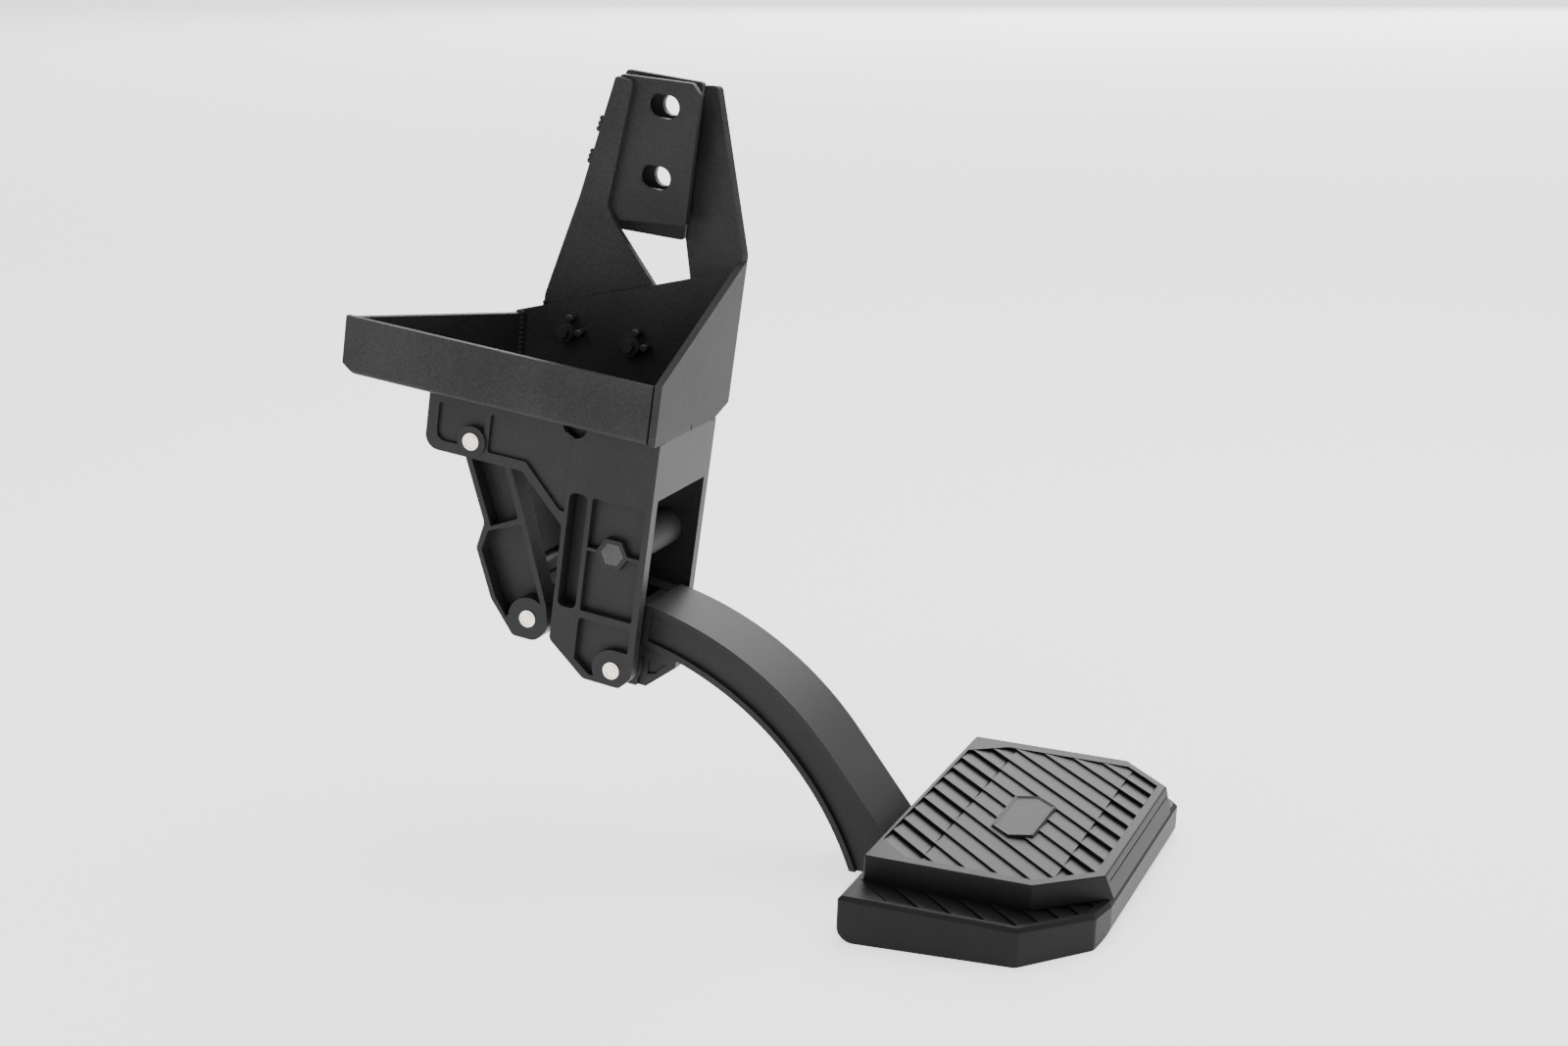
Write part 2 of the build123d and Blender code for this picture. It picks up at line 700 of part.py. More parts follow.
with BuildPart() as tray:
    # Front flange with its cropped lower corner
    with BuildSketch(across(tray_y)):
        with BuildLine():
            Polyline((tray_x, wall_top), (flange_end_x, wall_top), (flange_end_x, housing_top),
                     (tray_x + 11, housing_top), (tray_x, housing_top + 8), close=True)
        make_face()
    extrude(amount=-sheet_t)
    with BuildSketch(flat(housing_top)):
        with BuildLine():
            Polyline((tray_x + 11, tray_y), (flange_end_x, tray_y), (flange_end_x, tray_y + sheet_t),
                     (floor_end_x, tray_y + sheet_t), (floor_end_x, gusset_y),
                     (slant_end[0] + 6, gusset_y), (tray_x + 16, tray_y + sheet_t), close=True)
        make_face()
    extrude(amount=sheet_t)
    bend_edge = tray.edges().filter_by(Axis.X).sort_by(Axis.Z)[0:2].sort_by(Axis.Y)[0]
    fillet(bend_edge, 4)
    with BuildSketch(flat(housing_top)):
        with Locations(*bracket_bolts):
            Circle(bolt_hole_r)
    extrude(amount=sheet_t, mode=Mode.SUBTRACT)
save("bracket_tray", tray.part)

# Slanted rear wall of the tray, from the flange's free end to the gusset
slant_start = (tray_x + 1.5, tray_y + sheet_t + 0.2)
slant_width = 6.2
with BuildPart() as slant_wall:
    with BuildSketch(flat(tray_floor[1])):
        with BuildLine():
            Polyline(slant_start, (slant_start[0] + slant_width, slant_start[1]),
                     (slant_end[0] + slant_width, gusset_y), slant_end, close=True)
        make_face()
    extrude(amount=wall_top - tray_floor[1] - 1)
save("bracket_slant_wall", slant_wall.part)

# ==== Gusset plate across the back of the tray, and the tower plate bolted behind it =======
gusset_left = slant_end[0] - 2
gusset_top = (241.0, 311.0)
gusset_bolts = [(-128.8, 232.7), (-69.0, 232.9)]
gusset_hex = 17.0
head_h = 6.4
nut_h = 8.0
stud_r = 3.4
stud_length = 10.0
stud_offsets = ((4.5, 12.0), (13.5, 1.0))

with BuildPart() as gusset:
    with BuildSketch(across(gusset_y)):
        with BuildLine():
            Polyline((gusset_left, housing_top), (gusset_left, gusset_top[0] - 2),
                     (floor_end_x, gusset_top[1]), (floor_end_x, housing_top), close=True)
        make_face()
        with Locations(*gusset_bolts):
            Circle(bolt_hole_r, mode=Mode.SUBTRACT)
    extrude(amount=-plate_t)
save("bracket_gusset", gusset.part)

with BuildPart() as tower:
    with BuildSketch(across(tower_y)):
        with BuildLine():
            FilletPolyline((-156, 200), (-156, 257), (-134.5, 345), (-115, 446), (-99, 444),
                           (-109, 341), (-103, 330), (-58, 282), (-40, 262), (-40, 200),
                           radius=[2, 6, 60, 3, 5, 5, 5, 10, 5, 2], close=True)
        make_face()
        with Locations(*gusset_bolts):
            Circle(bolt_hole_r, mode=Mode.SUBTRACT)
    extrude(amount=-plate_t)
save("tower_plate", tower.part)

with BuildPart() as gusset_bolt_set:
    with BuildSketch(across(tower_y + plate_t)):
        with Locations(*gusset_bolts):
            RegularPolygon(gusset_hex / 2, 6, major_radius=False)
    extrude(amount=-head_h)
    with BuildSketch(across(gusset_y - 13)):
        with Locations(*gusset_bolts):
            Circle(bolt_r)
    extrude(amount=-(13 + 2 * plate_t))
save("gusset_bolts", gusset_bolt_set.part)

with BuildPart() as gusset_nut_set:
    with BuildSketch(across(gusset_y - nut_h)):
        with Locations(*gusset_bolts):
            RegularPolygon(gusset_hex / 2, 6, major_radius=False)
            Circle(bolt_r, mode=Mode.SUBTRACT)
    extrude(amount=-nut_h)
save("gusset_nuts", gusset_nut_set.part)

stud_spots = [(x + dx, z + dz) for x, z in gusset_bolts for dx, dz in stud_offsets]
with BuildPart() as studs:
    with BuildSketch(across(gusset_y - stud_length)):
        with Locations(*stud_spots):
            Circle(stud_r)
    extrude(amount=-stud_length)
    fillet(studs.faces().sort_by(Axis.Y)[0:len(stud_spots)].edges(), 1.5)
save("gusset_studs", studs.part)

# ==== Side plate: outer wall of the tray, bent round the far corner into the tower's wing ====
wing_s = math.radians(wing_angle)
wing_dir = (-math.sin(wing_s), math.cos(wing_s))
wing_length = 70.0
wing_frame = Plane(
    origin=(hinge_x + front_x, near_y + bend_y, hinge_z),
    x_dir=(wing_dir[0], wing_dir[1], 0),
    z_dir=(wing_dir[1], -wing_dir[0], 0),
)
corner_z = 320.0
slit_y = 60.0
side_frame = Plane(origin=(hinge_x + front_x, near_y, hinge_z), x_dir=(0, 1, 0), z_dir=(1, 0, 0))

with BuildPart() as side_plate:
    with BuildSketch(side_frame):
        with BuildLine():
            Polyline((tray_y, housing_top), (tray_y, 241), (bend_y, corner_z), (bend_y, housing_top + 9),
                     (bend_y - 20, housing_top + 2.5), (bend_y - 28, housing_top), close=True)
        make_face()
        # Drain slit in the lower edge
        with Locations((slit_y, housing_top)):
            Rectangle(1.5, 9, mode=Mode.SUBTRACT)
    extrude(amount=-plate_t)
    with BuildSketch(wing_frame):
        with BuildLine():
            FilletPolyline((0, housing_top + 9), (0, corner_z + 4), (55, 450), (wing_length, 448),
                           (wing_length, 322), (58, 290), (54, 200), (20, housing_top + 9),
                           radius=[1, 10, 5, 3, 8, 30, 10, 5], close=True)
        make_face()
    extrude(amount=-plate_t)
save("bracket_side_plate", side_plate.part)

# ==== Clamp plates that grip the truck's frame rail =============================================
clamp_spots = [(clamp_bolts_x, z) for z in clamp_bolts_z]
with BuildPart() as slotted_plate:
    with BuildSketch(across(slotted_y)):
        with BuildLine():
            FilletPolyline((-114, 447), (-50, 450.5), (-42, 442), (-41, 336), (-100, 330), (-114, 345),
                           radius=[3, 4, 3, 3, 3, 3], close=True)
        make_face()
        with Locations(*clamp_spots):
            SlotOverall(slot_length, slot_width, mode=Mode.SUBTRACT)
    extrude(amount=-plate_t)
save("clamp_plate_slotted", slotted_plate.part)

with BuildPart() as rear_plate:
    with BuildSketch(across(rear_y)):
        with BuildLine():
            FilletPolyline((-118, 449), (-49, 450), (-49, 320), (-118, 318), radius=3, close=True)
        make_face()
        with Locations(*clamp_spots):
            Circle(frame_hole_r, mode=Mode.SUBTRACT)
    extrude(amount=-plate_t)
save("clamp_plate_rear", rear_plate.part)

with BuildPart() as spacer:
    with BuildSketch(across(slotted_y + plate_t)):
        with BuildLine():
            Polyline((-113, 350), (-113, 442), (-103, 442), (-103, 350), close=True)
        make_face()
    extrude(amount=-(rear_y - slotted_y - plate_t))
save("clamp_spacer", spacer.part)

# ==== Fasteners between the bracket and the housing =============================================
bolt_low = 171.0
bolt_high = housing_top + sheet_t
bracket_hex = 16.0
bolt_washer_r = 10.0
bolt_washer_t = 1.5
with BuildPart() as bracket_bolt_set:
    with BuildSketch(flat(bolt_high + bolt_washer_t)):
        with Locations(*bracket_bolts):
            RegularPolygon(bracket_hex / 2, 6, major_radius=False)
    extrude(amount=head_h)
    with BuildSketch(flat(bolt_low)):
        with Locations(*bracket_bolts):
            Circle(bolt_r)
    extrude(amount=bolt_high + bolt_washer_t - bolt_low)
save("bracket_bolts", bracket_bolt_set.part)

with BuildPart() as bracket_washer_set:
    with BuildSketch(flat(bolt_high)):
        with Locations(*bracket_bolts):
            Circle(bolt_washer_r)
            Circle(bolt_hole_r, mode=Mode.SUBTRACT)
    extrude(amount=bolt_washer_t)
save("bracket_washers", bracket_washer_set.part)

with BuildPart() as bracket_nut_set:
    with BuildSketch(flat(housing_top - top_wall_t)):
        with Locations(*bracket_bolts):
            RegularPolygon(bracket_hex / 2, 6, major_radius=False)
            Circle(bolt_r, mode=Mode.SUBTRACT)
    extrude(amount=-nut_h)
save("bracket_nuts", bracket_nut_set.part)
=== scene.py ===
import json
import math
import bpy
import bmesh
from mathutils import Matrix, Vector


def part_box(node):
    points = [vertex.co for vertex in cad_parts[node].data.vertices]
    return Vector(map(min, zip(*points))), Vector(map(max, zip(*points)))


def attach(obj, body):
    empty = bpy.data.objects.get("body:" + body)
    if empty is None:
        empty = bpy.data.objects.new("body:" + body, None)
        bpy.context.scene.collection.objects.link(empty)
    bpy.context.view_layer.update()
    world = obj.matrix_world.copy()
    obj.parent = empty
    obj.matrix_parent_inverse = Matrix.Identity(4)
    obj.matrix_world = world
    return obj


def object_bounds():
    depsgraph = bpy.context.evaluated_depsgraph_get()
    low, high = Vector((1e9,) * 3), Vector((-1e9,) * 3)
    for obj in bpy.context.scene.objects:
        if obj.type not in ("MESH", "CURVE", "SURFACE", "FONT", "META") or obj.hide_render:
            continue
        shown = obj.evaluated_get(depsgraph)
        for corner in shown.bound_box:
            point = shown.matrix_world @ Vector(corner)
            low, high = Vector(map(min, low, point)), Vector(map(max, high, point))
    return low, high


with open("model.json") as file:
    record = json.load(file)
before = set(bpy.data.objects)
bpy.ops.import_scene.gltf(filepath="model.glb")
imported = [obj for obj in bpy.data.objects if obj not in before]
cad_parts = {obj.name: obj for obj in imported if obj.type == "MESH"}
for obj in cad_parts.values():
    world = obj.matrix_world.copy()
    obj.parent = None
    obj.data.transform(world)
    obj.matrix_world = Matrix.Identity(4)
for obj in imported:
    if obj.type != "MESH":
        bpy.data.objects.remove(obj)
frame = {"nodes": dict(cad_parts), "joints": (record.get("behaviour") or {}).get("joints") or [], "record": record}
cad_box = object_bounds()

# %% [markdown]
# # A folding tailgate step
# This step bolts to a truck's frame rail and folds up on a hinge when it isn't needed. The frame already
# holds every plate, casting, pin and bolt, so this lesson is about what comes after: finishes for them all,
# the slanted ribs that a sole grips, the plate in the middle of the tread, the weld beads, and a studio to
# show them in. Blender measures everything in metres, so millimetres get a name of their own first.

MM = 0.001
nodes = frame["nodes"]
print(len(nodes), "nodes came with the frame")

# %% [markdown]
# ## Where things are
# Two places are enough to find everything else. The bracket's pieces are measured from the arm's hinge pin
# and from the housing's near face, which lies just behind the round bosses that stand proud of it. The step
# leans a few degrees, so its own pieces are measured along the lean (u), across it (y) and up from it (n).
# The frame's record knows the tread's direction, and from that direction the whole lean can be worked out.

# %% Places on the housing and on the leaning step
joints = {joint["name"]: joint for joint in frame["joints"]}
hinge = Vector(joints["arm_fold"]["pos_m"])
boss_proud = 2 * MM
near_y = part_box("housing")[0].y + boss_proud
bracket_origin = Vector((hinge.x, near_y, hinge.z))

tread_mount = next(mount for mount in frame["record"]["mounts"] if mount["name"] == "tread")
n_dir = Vector(tread_mount["axis"])
u_dir = Vector((n_dir.z, 0, -n_dir.x))
tread_height = 19.5 * MM
tread_n = (Vector(tread_mount["pos_m"]) - hinge).dot(n_dir)
ledge_n = tread_n - tread_height
step_turn = Matrix((u_dir, Vector((0, 1, 0)), n_dir)).transposed().to_4x4()
to_step = Matrix.Translation(bracket_origin) @ step_turn
print("tread height along its own normal, mm:", round(tread_n / MM, 2))

# %% [markdown]
# ## Three habits
# An operator acts on whatever is selected, and the frame's nodes arrive selected, so every step starts from
# nothing selected. A finished piece keeps its place in its mesh, while its object stays at the origin. And a
# piece that was cut or repeated has its doubles merged and its faces turned outwards, because a face that
# looks inwards shades wrongly and spoils an exported mesh.

# %% Helpers for selection, place and normals
merge_distance = 1e-6


def deselect():
    """Object mode, with nothing selected."""
    if bpy.context.object and bpy.context.object.mode != "OBJECT":
        bpy.ops.object.mode_set(mode="OBJECT")
    bpy.ops.object.select_all(action="DESELECT")


def edit(piece):
    """Edit mode on one piece alone, with all of it selected."""
    deselect()
    bpy.context.view_layer.objects.active = piece
    piece.select_set(True)
    bpy.ops.object.mode_set(mode="EDIT")
    bpy.ops.mesh.select_all(action="SELECT")


def place(piece, matrix):
    """Bakes a placement into the mesh, so that the object itself sits at the origin."""
    piece.data.transform(matrix @ piece.matrix_world)
    piece.matrix_world = Matrix.Identity(4)


def outwards(piece):
    """Merges doubles and turns every face outwards."""
    edit(piece)
    bpy.ops.mesh.remove_doubles(threshold=merge_distance)
    bpy.ops.mesh.normals_make_consistent(inside=False)
    bpy.ops.object.mode_set(mode="OBJECT")


deselect()
print("nothing selected:", len(bpy.context.selected_objects) == 0)

# %% [markdown]
# ## One recipe for a coated surface
# Nearly everything on this step is black, so its finishes differ by grain and gloss rather than by colour.
# Flat colours would look like plastic toys. Real coats vary: a broad noise makes the colour drift over a
# plate, a fine one makes its speckle, and the same fine noise pushes the roughness about and feeds a Bump
# node that gives the grain. One function with a few numbers can then describe them all.

# %% The recipe
noise_scale = 14
noise_detail = 4
grain_detail = 2
speckle_range = (0.75, 1.25)
roughness_drift = 0.06
bump_height = 0.3 * MM


def noise(tree, coords, scale, detail):
    """A noise that reads the piece's own coordinates, so that it travels with the piece."""
    texture = tree.nodes.new("ShaderNodeTexNoise")
    texture.inputs["Scale"].default_value = scale
    texture.inputs["Detail"].default_value = detail
    tree.links.new(coords.outputs["Object"], texture.inputs["Vector"])
    return texture


def mottled(tree, broad, grain, color, mottle):
    """A colour ramp that the sum of two noises moves along, from darker to lighter."""
    both = tree.nodes.new("ShaderNodeMath")
    both.operation = "ADD"
    tree.links.new(broad.outputs["Fac"], both.inputs[0])
    tree.links.new(grain.outputs["Fac"], both.inputs[1])
    level = tree.nodes.new("ShaderNodeMapRange")
    level.inputs["From Min"].default_value = speckle_range[0]
    level.inputs["From Max"].default_value = speckle_range[1]
    tree.links.new(both.outputs["Value"], level.inputs["Value"])
    ramp = tree.nodes.new("ShaderNodeValToRGB")
    ramp.color_ramp.elements[0].color = (*[part * (1 - mottle) for part in color], 1)
    ramp.color_ramp.elements[1].color = (*[part * (1 + mottle) for part in color], 1)
    tree.links.new(level.outputs["Result"], ramp.inputs["Fac"])
    return ramp


def coated(name, color, roughness, grain_mm, grain_depth, mottle=0.25, metallic=0.0, specular=0.3):
    """A procedural finish whose colour, roughness and grain vary from place to place."""
    material = bpy.data.materials.new(name)
    material.use_nodes = True
    tree = material.node_tree
    shader = tree.nodes["Principled BSDF"]
    shader.inputs["Metallic"].default_value = metallic
    shader.inputs["Specular IOR Level"].default_value = specular
    coords = tree.nodes.new("ShaderNodeTexCoord")
    broad = noise(tree, coords, noise_scale, noise_detail)
    grain = noise(tree, coords, 1 / (grain_mm * MM), grain_detail)
    ramp = mottled(tree, broad, grain, color, mottle)
    tree.links.new(ramp.outputs["Color"], shader.inputs["Base Color"])
    spread = tree.nodes.new("ShaderNodeMapRange")
    spread.inputs["To Min"].default_value = roughness - roughness_drift
    spread.inputs["To Max"].default_value = roughness + roughness_drift
    tree.links.new(grain.outputs["Fac"], spread.inputs["Value"])
    tree.links.new(spread.outputs["Result"], shader.inputs["Roughness"])
    bump = tree.nodes.new("ShaderNodeBump")
    bump.inputs["Strength"].default_value = grain_depth
    bump.inputs["Distance"].default_value = bump_height
    tree.links.new(grain.outputs["Fac"], bump.inputs["Height"])
    tree.links.new(bump.outputs["Normal"], shader.inputs["Normal"])
    print("finish", name, "grain", grain_mm, "mm")
    return material


# %% [markdown]
# ## Eight finishes
# The folded plates have the coarsest coat, a powder baked on after welding. The housing and the strut are
# castings with a softer skin, and the arm is painted smooth. The step's two mouldings have a fine texture and
# hardly shine. The pins are machined steel left bare, warm against all the black, and the bolts are oxidised.

# %% The finishes, one per kind of surface
finishes = {
    "sheet_steel": coated("powder_coated_plate", (0.026, 0.0264, 0.0267), 0.5, 1.8, 0.9, specular=0.12),
    "cast_black": coated("coated_casting", (0.015, 0.0154, 0.016), 0.42, 1.6, 0.4, specular=0.2),
    "arm_steel": coated("satin_painted_arm", (0.012, 0.012, 0.0125), 0.5, 1.8, 0.1, specular=0.22),
    "pin_steel": coated("machined_pin", (0.95, 0.87, 0.75), 0.34, 0.8, 0.1, mottle=0.05, metallic=1.0),
    "black_hardware": coated("black_oxide", (0.05, 0.05, 0.052), 0.3, 1.0, 0.15, metallic=0.5),
    "stop_rubber": coated("stop_rubber_skin", (0.02, 0.02, 0.02), 0.62, 0.9, 0.3),
    "bush_plastic": coated("bearing_plastic", (0.06, 0.06, 0.06), 0.45, 1.2, 0.1),
    "pad_plastic": coated("moulded_step_plastic", (0.007, 0.0071, 0.0073), 0.46, 1.2, 0.4, specular=0.15),
}

# %% [markdown]
# ## Dressing the frame's nodes
# The frame's record names a material slot for every node. Looking the slot up in the table above dresses
# them all in one loop, and a node that is added to the design later gets its finish without a new line here.

# %% Each node gets the finish of its slot
slot_of = {sub["node"]: sub["material_slot"] for sub in frame["record"]["subparts"]}
for name, node in nodes.items():
    node.data.materials.clear()
    node.data.materials.append(finishes[slot_of[name]])
print(len(nodes), "nodes have a finish")

# %% [markdown]
# ## One tooth, repeated into a row
# The tread and the ledge below it carry ribs like a saw's teeth: each climbs gently and then drops in a steep
# face that a sole can bite on. They run at 45 degrees, a thumb's width apart. Drawing every rib by hand would
# be slow and uneven, so one tooth is shaped from a cube: one upper edge is raised and rounded by a bevel, and
# an Array modifier repeats the tooth across the slant. The row is far too long on purpose.

# %% The saw-tooth row
rib_spacing = 25.3
pitch = rib_spacing * MM / math.sqrt(2)
tooth_turn = Matrix.Rotation(math.radians(45), 4, "Z")
tooth_rounding = 0.5 * MM


def repeat_along(piece, count, step):
    """Repeats a piece by an Array modifier, one fixed step at a time."""
    repeat = piece.modifiers.new("repeat", "ARRAY")
    repeat.count = count
    repeat.use_relative_offset = False
    repeat.use_constant_offset = True
    repeat.constant_offset_displace = step
    bpy.ops.object.modifier_apply(modifier="repeat")


def tooth_row(name, drop, floor, first_sum, count, length):
    """A row of teeth across the 45-degree direction, on the plane n = 0, before any trimming."""
    deselect()
    bpy.ops.mesh.primitive_cube_add(size=1)
    row = bpy.context.object
    row.name = name
    row.data.transform(Matrix.Diagonal((pitch, length, floor, 1)))
    row.data.transform(Matrix.Translation((pitch / 2, 0, -drop - floor / 2)))
    bpy.ops.object.mode_set(mode="EDIT")
    bpy.ops.mesh.select_all(action="DESELECT")
    shell = bmesh.from_edit_mesh(row.data)
    for vert in shell.verts:
        vert.select = vert.co.x < pitch / 2 and vert.co.z > -drop - floor / 2
    shell.select_flush(True)
    bmesh.update_edit_mesh(row.data)
    bpy.ops.transform.translate(value=(0, 0, drop))
    bpy.ops.mesh.bevel(offset=tooth_rounding, segments=2)
    bpy.ops.object.mode_set(mode="OBJECT")
    repeat_along(row, count, (pitch, 0, 0))
    row.data.transform(Matrix.Translation((first_sum / math.sqrt(2), 0, 0)))
    row.data.transform(tooth_turn)
    return row


print("ribs stand", round(pitch / MM, 1), "mm apart, square to their length")

# %% [markdown]
# ## Trimming a row to its field
# The ribs end at the borders of sunk fields whose corners are cut off. A bisect with an upright plane on each
# border removes what is outside and closes the cut again, like a saw that follows the outline. It works for
# any outline without inward corners. The operator wants a plane normal of length one.

# %% Bisecting along an outline
def trim(row, field):
    """Cuts a row with the upright plane of each edge of a convex outline, counter-clockwise."""
    edit(row)
    for start, end in zip(field, field[1:] + field[:1]):
        side = Vector((end[1] - start[1], start[0] - end[0], 0)).normalized()
        bpy.ops.mesh.select_all(action="SELECT")
        bpy.ops.mesh.bisect(
            plane_co=(start[0] * MM, start[1] * MM, 0), plane_no=side,
            use_fill=True, clear_outer=True, clear_inner=False,
        )
    bpy.ops.object.mode_set(mode="OBJECT")
    print(row.name, "trimmed along", len(field), "borders")


# %% [markdown]
# ## The tread's three bands
# Near both ends of the tread the teeth are taller than in the middle, so a small jog shows in every line
# where the bands meet. Three rows with the same spacing but two heights, each trimmed to its own band, give
# exactly that. A narrow gap keeps the ribs clear of the field's wall.

# %% The bands' outlines, in mm along u and across y
wall_gap = 0.3
jog_near = 280.0
jog_far = 381.0
field_near = -48.5 + wall_gap
field_far = 217 - wall_gap
corner_near = -36.2
corner_far = 211.4
end_drop = 3.0 * MM
middle_drop = 1.7 * MM
bands = {
    "tread_ribs_inner": (end_drop, [
        (242 + wall_gap, -22), (268, field_near), (jog_near, field_near),
        (jog_near, field_far), (272, field_far), (243 + wall_gap, 195)]),
    "tread_ribs_middle": (middle_drop, [
        (jog_near, field_near), (368, field_near), (jog_far, corner_near),
        (jog_far, corner_far), (376, field_far), (jog_near, field_far)]),
    "tread_ribs_outer": (end_drop, [
        (jog_far, corner_near), (406.5 - wall_gap, -13), (408 - wall_gap, 184), (jog_far, corner_far)]),
}
print(len(bands), "bands, with jogs at u", jog_near, "and", jog_far)

# %% The tread's ribs
inner_groove = 216.2
first_groove = inner_groove - 4 * rib_spacing
tread_teeth = 26
row_length = 700 * MM
field_filling = 3.1 * MM
rib_sink = 0.1 * MM
for name, (drop, field) in bands.items():
    ribs = tooth_row(name, drop, field_filling - drop, first_groove * MM, tread_teeth, row_length)
    trim(ribs, field)
    place(ribs, to_step @ Matrix.Translation((0, 0, tread_n - rib_sink)))
    outwards(ribs)
    ribs.data.materials.append(finishes["pad_plastic"])
    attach(ribs, "arm")
    print(name, len(ribs.data.polygons), "faces")

# %% [markdown]
# ## The ledge's ribs
# A lower ledge runs round the near side of the step, with the same ribs in a narrow, bent field. The field
# bends inwards under the tread, but the tread's own wall hides that side, so a convex outline that runs on
# under the tread is enough.

# %% The ledge's ribs, shifted by half a tooth
ledge_shift = 12.9
ledge_teeth = 20
ledge_drop = 2.2 * MM
ledge_floor = 0.3 * MM
ledge_field = [
    (237 + wall_gap, -60), (267, -91 + wall_gap), (368, -91 + wall_gap), (408.5 - wall_gap, -46),
    (412 - wall_gap, -24), (400, -20), (300, -45),
]
ledge_start = (first_groove - ledge_shift) * MM
ledge_ribs = tooth_row("ledge_ribs", ledge_drop, ledge_floor, ledge_start, ledge_teeth, row_length)
trim(ledge_ribs, ledge_field)
place(ledge_ribs, to_step @ Matrix.Translation((0, 0, ledge_n - rib_sink)))
outwards(ledge_ribs)
ledge_ribs.data.materials.append(finishes["pad_plastic"])
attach(ledge_ribs, "arm")
print("ledge_ribs", len(ledge_ribs.data.polygons), "faces")

# %% [markdown]
# ## Bordered panel on the tread
# The middle of the tread keeps a plain six-sided panel. A thin plate with a raised border finishes it: the
# corners of a six-sided face are moved to the panel's outline, the face is pulled up into a slab, its top is
# inset, and the inset face is pushed down again.

# %% The panel plate
panel = [(309.5, 41), (309.5, 107), (327, 114.6), (344.5, 99.5), (344.5, 33), (327, 25.4)]
panel_low = -0.6 * MM
panel_high = 1.2 * MM
border_width = 3 * MM
border_depth = 1.0 * MM
level_tolerance = 0.01 * MM


def select_level(piece, height):
    """Selects only the faces that lie level at a height, in edit mode."""
    bpy.ops.mesh.select_all(action="DESELECT")
    shell = bmesh.from_edit_mesh(piece.data)
    for face in shell.faces:
        if all(abs(vert.co.z - height) < level_tolerance for vert in face.verts):
            face.select_set(True)
    bmesh.update_edit_mesh(piece.data)


deselect()
bpy.ops.mesh.primitive_circle_add(vertices=len(panel), radius=border_width, fill_type="NGON")
panel_plate = bpy.context.object
panel_plate.name = "tread_panel_plate"
for vert, spot in zip(panel_plate.data.vertices, panel):
    vert.co = (spot[0] * MM, spot[1] * MM, panel_low)
edit(panel_plate)
bpy.ops.mesh.extrude_region_move(TRANSFORM_OT_translate={"value": (0, 0, panel_high - panel_low)})
select_level(panel_plate, panel_high)
bpy.ops.mesh.inset(thickness=border_width)
bpy.ops.transform.translate(value=(0, 0, -border_depth))
bpy.ops.object.mode_set(mode="OBJECT")
place(panel_plate, to_step @ Matrix.Translation((0, 0, tread_n)))
outwards(panel_plate)
panel_plate.data.materials.append(finishes["pad_plastic"])
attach(panel_plate, "arm")
print("tread_panel_plate", len(panel_plate.data.polygons), "faces")

# %% [markdown]
# ## How a weld bead is made
# The bracket's plates are welded before they are coated, so the beads wear the same powder. A bead is a row
# of overlapping drops: one ball is repeated along the seam by an Array modifier, and a Remesh modifier melts
# the row into a single closed skin. A swept tube would be simpler, but it would miss the ripples.

# %% One bead
drop_spacing = 1.25
melt_voxel = 0.35 * MM
print("a bead's drops stand", drop_spacing, "radii apart")


def bead(name, start, end, radius):
    """A rippled weld from start to end, both in mm from the hinge pin and the near face."""
    first = bracket_origin + Vector(start) * MM
    run = bracket_origin + Vector(end) * MM - first
    drops = max(2, round(run.length / (drop_spacing * radius * MM)))
    deselect()
    bpy.ops.mesh.primitive_ico_sphere_add(subdivisions=3, radius=radius * MM)
    seam = bpy.context.object
    seam.name = name
    repeat_along(seam, drops, run / (drops - 1))
    melt = seam.modifiers.new("melt", "REMESH")
    melt.mode = "VOXEL"
    melt.voxel_size = melt_voxel
    melt.use_smooth_shade = True
    bpy.ops.object.modifier_apply(modifier="melt")
    place(seam, Matrix.Translation(first))
    outwards(seam)
    seam.data.materials.append(finishes["sheet_steel"])
    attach(seam, "bracket")
    print(name, drops, "drops", len(seam.data.polygons), "faces")


# %% [markdown]
# ## The beads on the bracket
# Two short beads hold the tower plate's slanting edge, one long bead runs up the inner corner where the
# slanted wall meets the gusset, and two dabs close the corners of the gusset and the tower plate. Each
# follows its plate's edge, so its ends are given as points on that edge.

# %% The five beads
bead("weld_tower_upper", (-124.9, 132.5, 401), (-123.1, 132.5, 410), 2.4)
bead("weld_tower_lower", (-129.9, 132.5, 374), (-128.3, 132.5, 382), 2.4)
bead("weld_tray_seam", (-169.8, 124.0, 200), (-171.5, 124.0, 238), 3.2)
bead("weld_corner_high", (7.5, 124.2, 305), (9.5, 124.2, 308), 2.2)
bead("weld_corner_low", (-154.8, 130.4, 240), (-154.8, 130.4, 250), 2.0)

# %% [markdown]
# ## Camera
# The camera stands in front of the step, a little to its outer side, and looks slightly down, so that both
# the housing's side and the tread's top are seen. A longish lens keeps the plates' edges nearly parallel. Its
# three directions are given outright, because the step itself stands at a slight lean.

# %% The camera
camera_spot = Vector((0.7839, -1.8602, 0.3134))
camera_right = Vector((0.92239491, 0.3612436, 0.13671386))
camera_down = Vector((0.23030657, -0.23023847, -0.94548883))
camera_forward = Vector((-0.310075, 0.90360019, -0.29556757))
camera_data = bpy.data.cameras.new("camera")
camera_data.sensor_width = 36
camera_data.lens = 56.74
camera = bpy.data.objects.new("camera", camera_data)
bpy.context.scene.collection.objects.link(camera)
camera_turn = Matrix((camera_right, -camera_down, -camera_forward)).transposed().to_4x4()
camera.matrix_world = Matrix.Translation(camera_spot) @ camera_turn
bpy.context.scene.camera = camera
print("camera lens, mm:", round(camera_data.lens, 2))

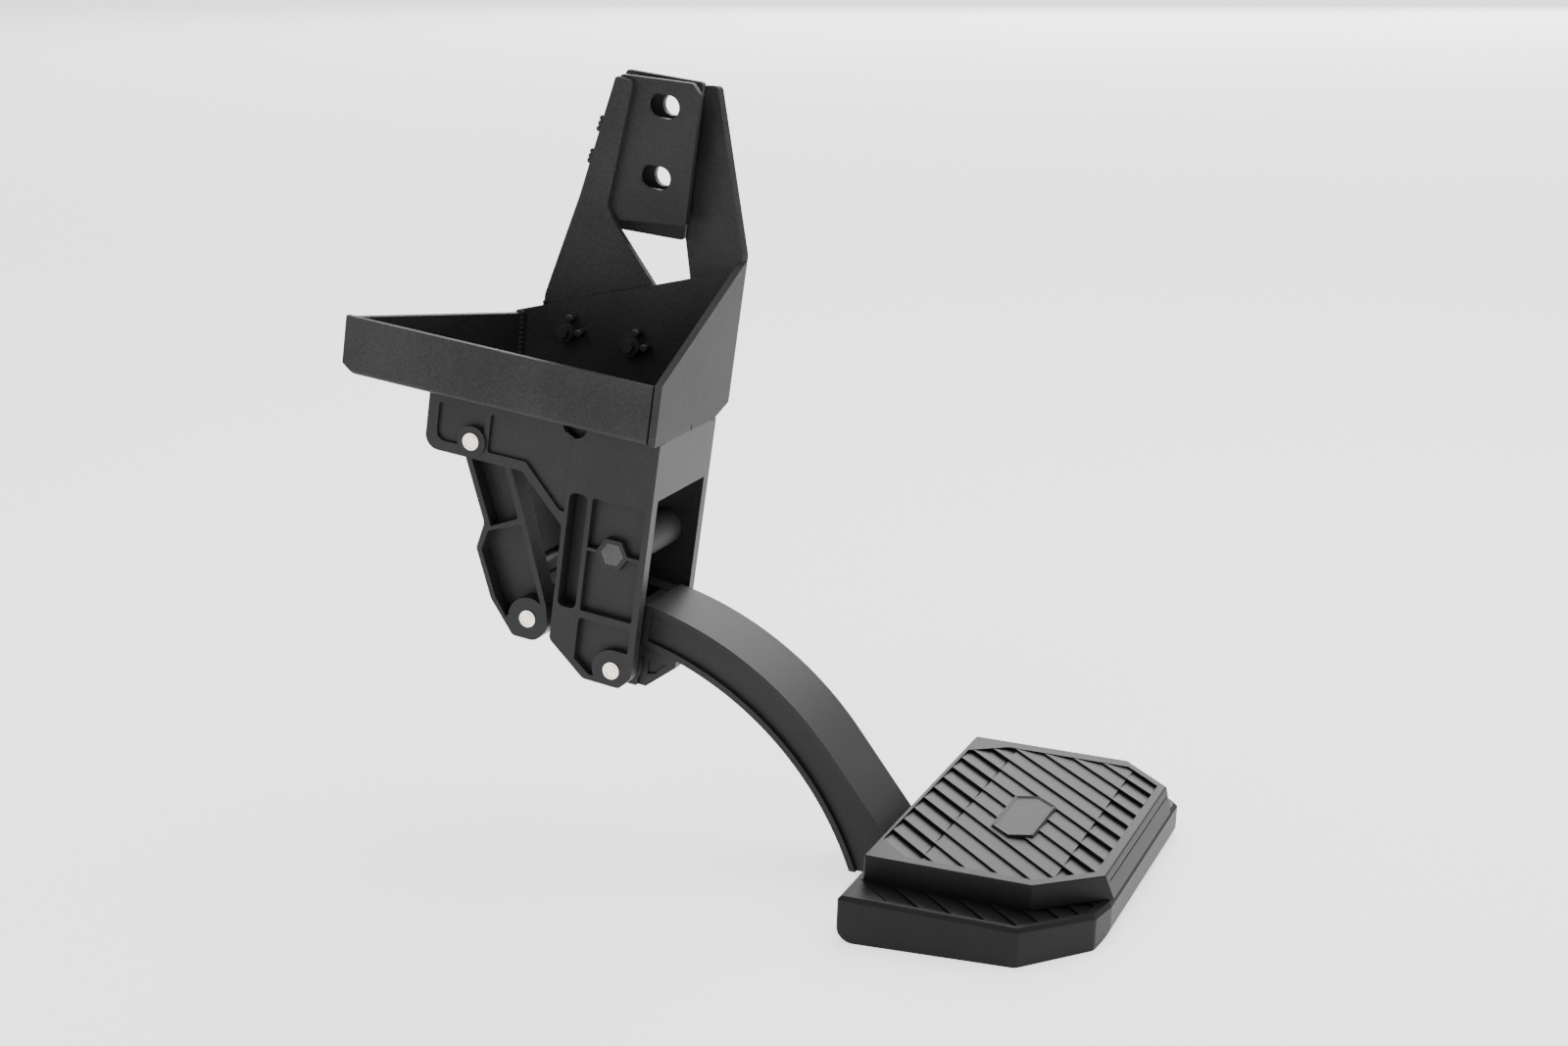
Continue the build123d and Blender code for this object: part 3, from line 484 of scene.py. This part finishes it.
# %% [markdown]
# ## Floor
# The step's underside rests flat on the floor. In the frame's own axes that underside leans, so the floor
# leans with it. A wide pale sheet with a little light of its own keeps the surroundings bright and even, the
# way a lit studio table does, and sends soft light up under the plates.

# %% The floor
underside_lean = math.radians(8.89)
floor_size = 80
floor_gap = 0.2 * MM
floor_glow = 1.3
floor_up = Vector((-math.sin(underside_lean), 0, math.cos(underside_lean)))
floor_height = min(vert.co.dot(floor_up) for vert in nodes["step_base"].data.vertices)
floor_turn = floor_up.to_track_quat("Z", "Y").to_matrix().to_4x4()
deselect()
bpy.ops.mesh.primitive_plane_add(size=floor_size)
floor = bpy.context.object
floor.name = "studio_floor"
place(floor, floor_turn @ Matrix.Translation((0, 0, floor_height - floor_gap)))
pale = bpy.data.materials.new("pale_floor")
pale.use_nodes = True
pale_shader = pale.node_tree.nodes["Principled BSDF"]
pale_shader.inputs["Base Color"].default_value = (0.93, 0.93, 0.93, 1)
pale_shader.inputs["Roughness"].default_value = 0.9
pale_shader.inputs["Specular IOR Level"].default_value = 0.1
pale_shader.inputs["Emission Color"].default_value = (1, 1, 1, 1)
pale_shader.inputs["Emission Strength"].default_value = floor_glow
floor.data.materials.append(pale)
print("floor height along its normal, mm:", round(floor_height / MM, 1))

# %% [markdown]
# ## Lights
# Black objects are shown by what they reflect. A very large softbox far behind the step lies across the top
# of the arm and the tread, one overhead models the plates, and two small ones lift the near and the outer
# side. A white world fills the rest. Each softbox faces the middle of the step.

# %% Softboxes and the world
middle = (cad_box[0] + cad_box[1]) / 2
world_strength = 0.8


def softbox(name, place_at, power, size):
    """A square area light that faces the middle of the object."""
    data = bpy.data.lights.new(name, "AREA")
    data.energy = power
    data.size = size
    lamp = bpy.data.objects.new(name, data)
    bpy.context.scene.collection.objects.link(lamp)
    lamp.location = middle + Vector(place_at)
    lamp.rotation_euler = (middle - lamp.location).to_track_quat("-Z", "Y").to_euler()
    print("softbox", name, power, "W")


softbox("overhead", (0.2, 0.9, 2.4), 55, 2.4)
softbox("outer_side", (2.6, 0.5, 1.0), 9, 1.6)
softbox("behind", (-2.5, 14.0, 5.3), 1800, 10.6)
softbox("near_side", (-1.4, -1.9, 2.4), 16, 1.2)
world = bpy.data.worlds.new("studio")
bpy.context.scene.world = world
world.use_nodes = True
world.node_tree.nodes["Background"].inputs["Color"].default_value = (1, 1, 1, 1)
world.node_tree.nodes["Background"].inputs["Strength"].default_value = world_strength
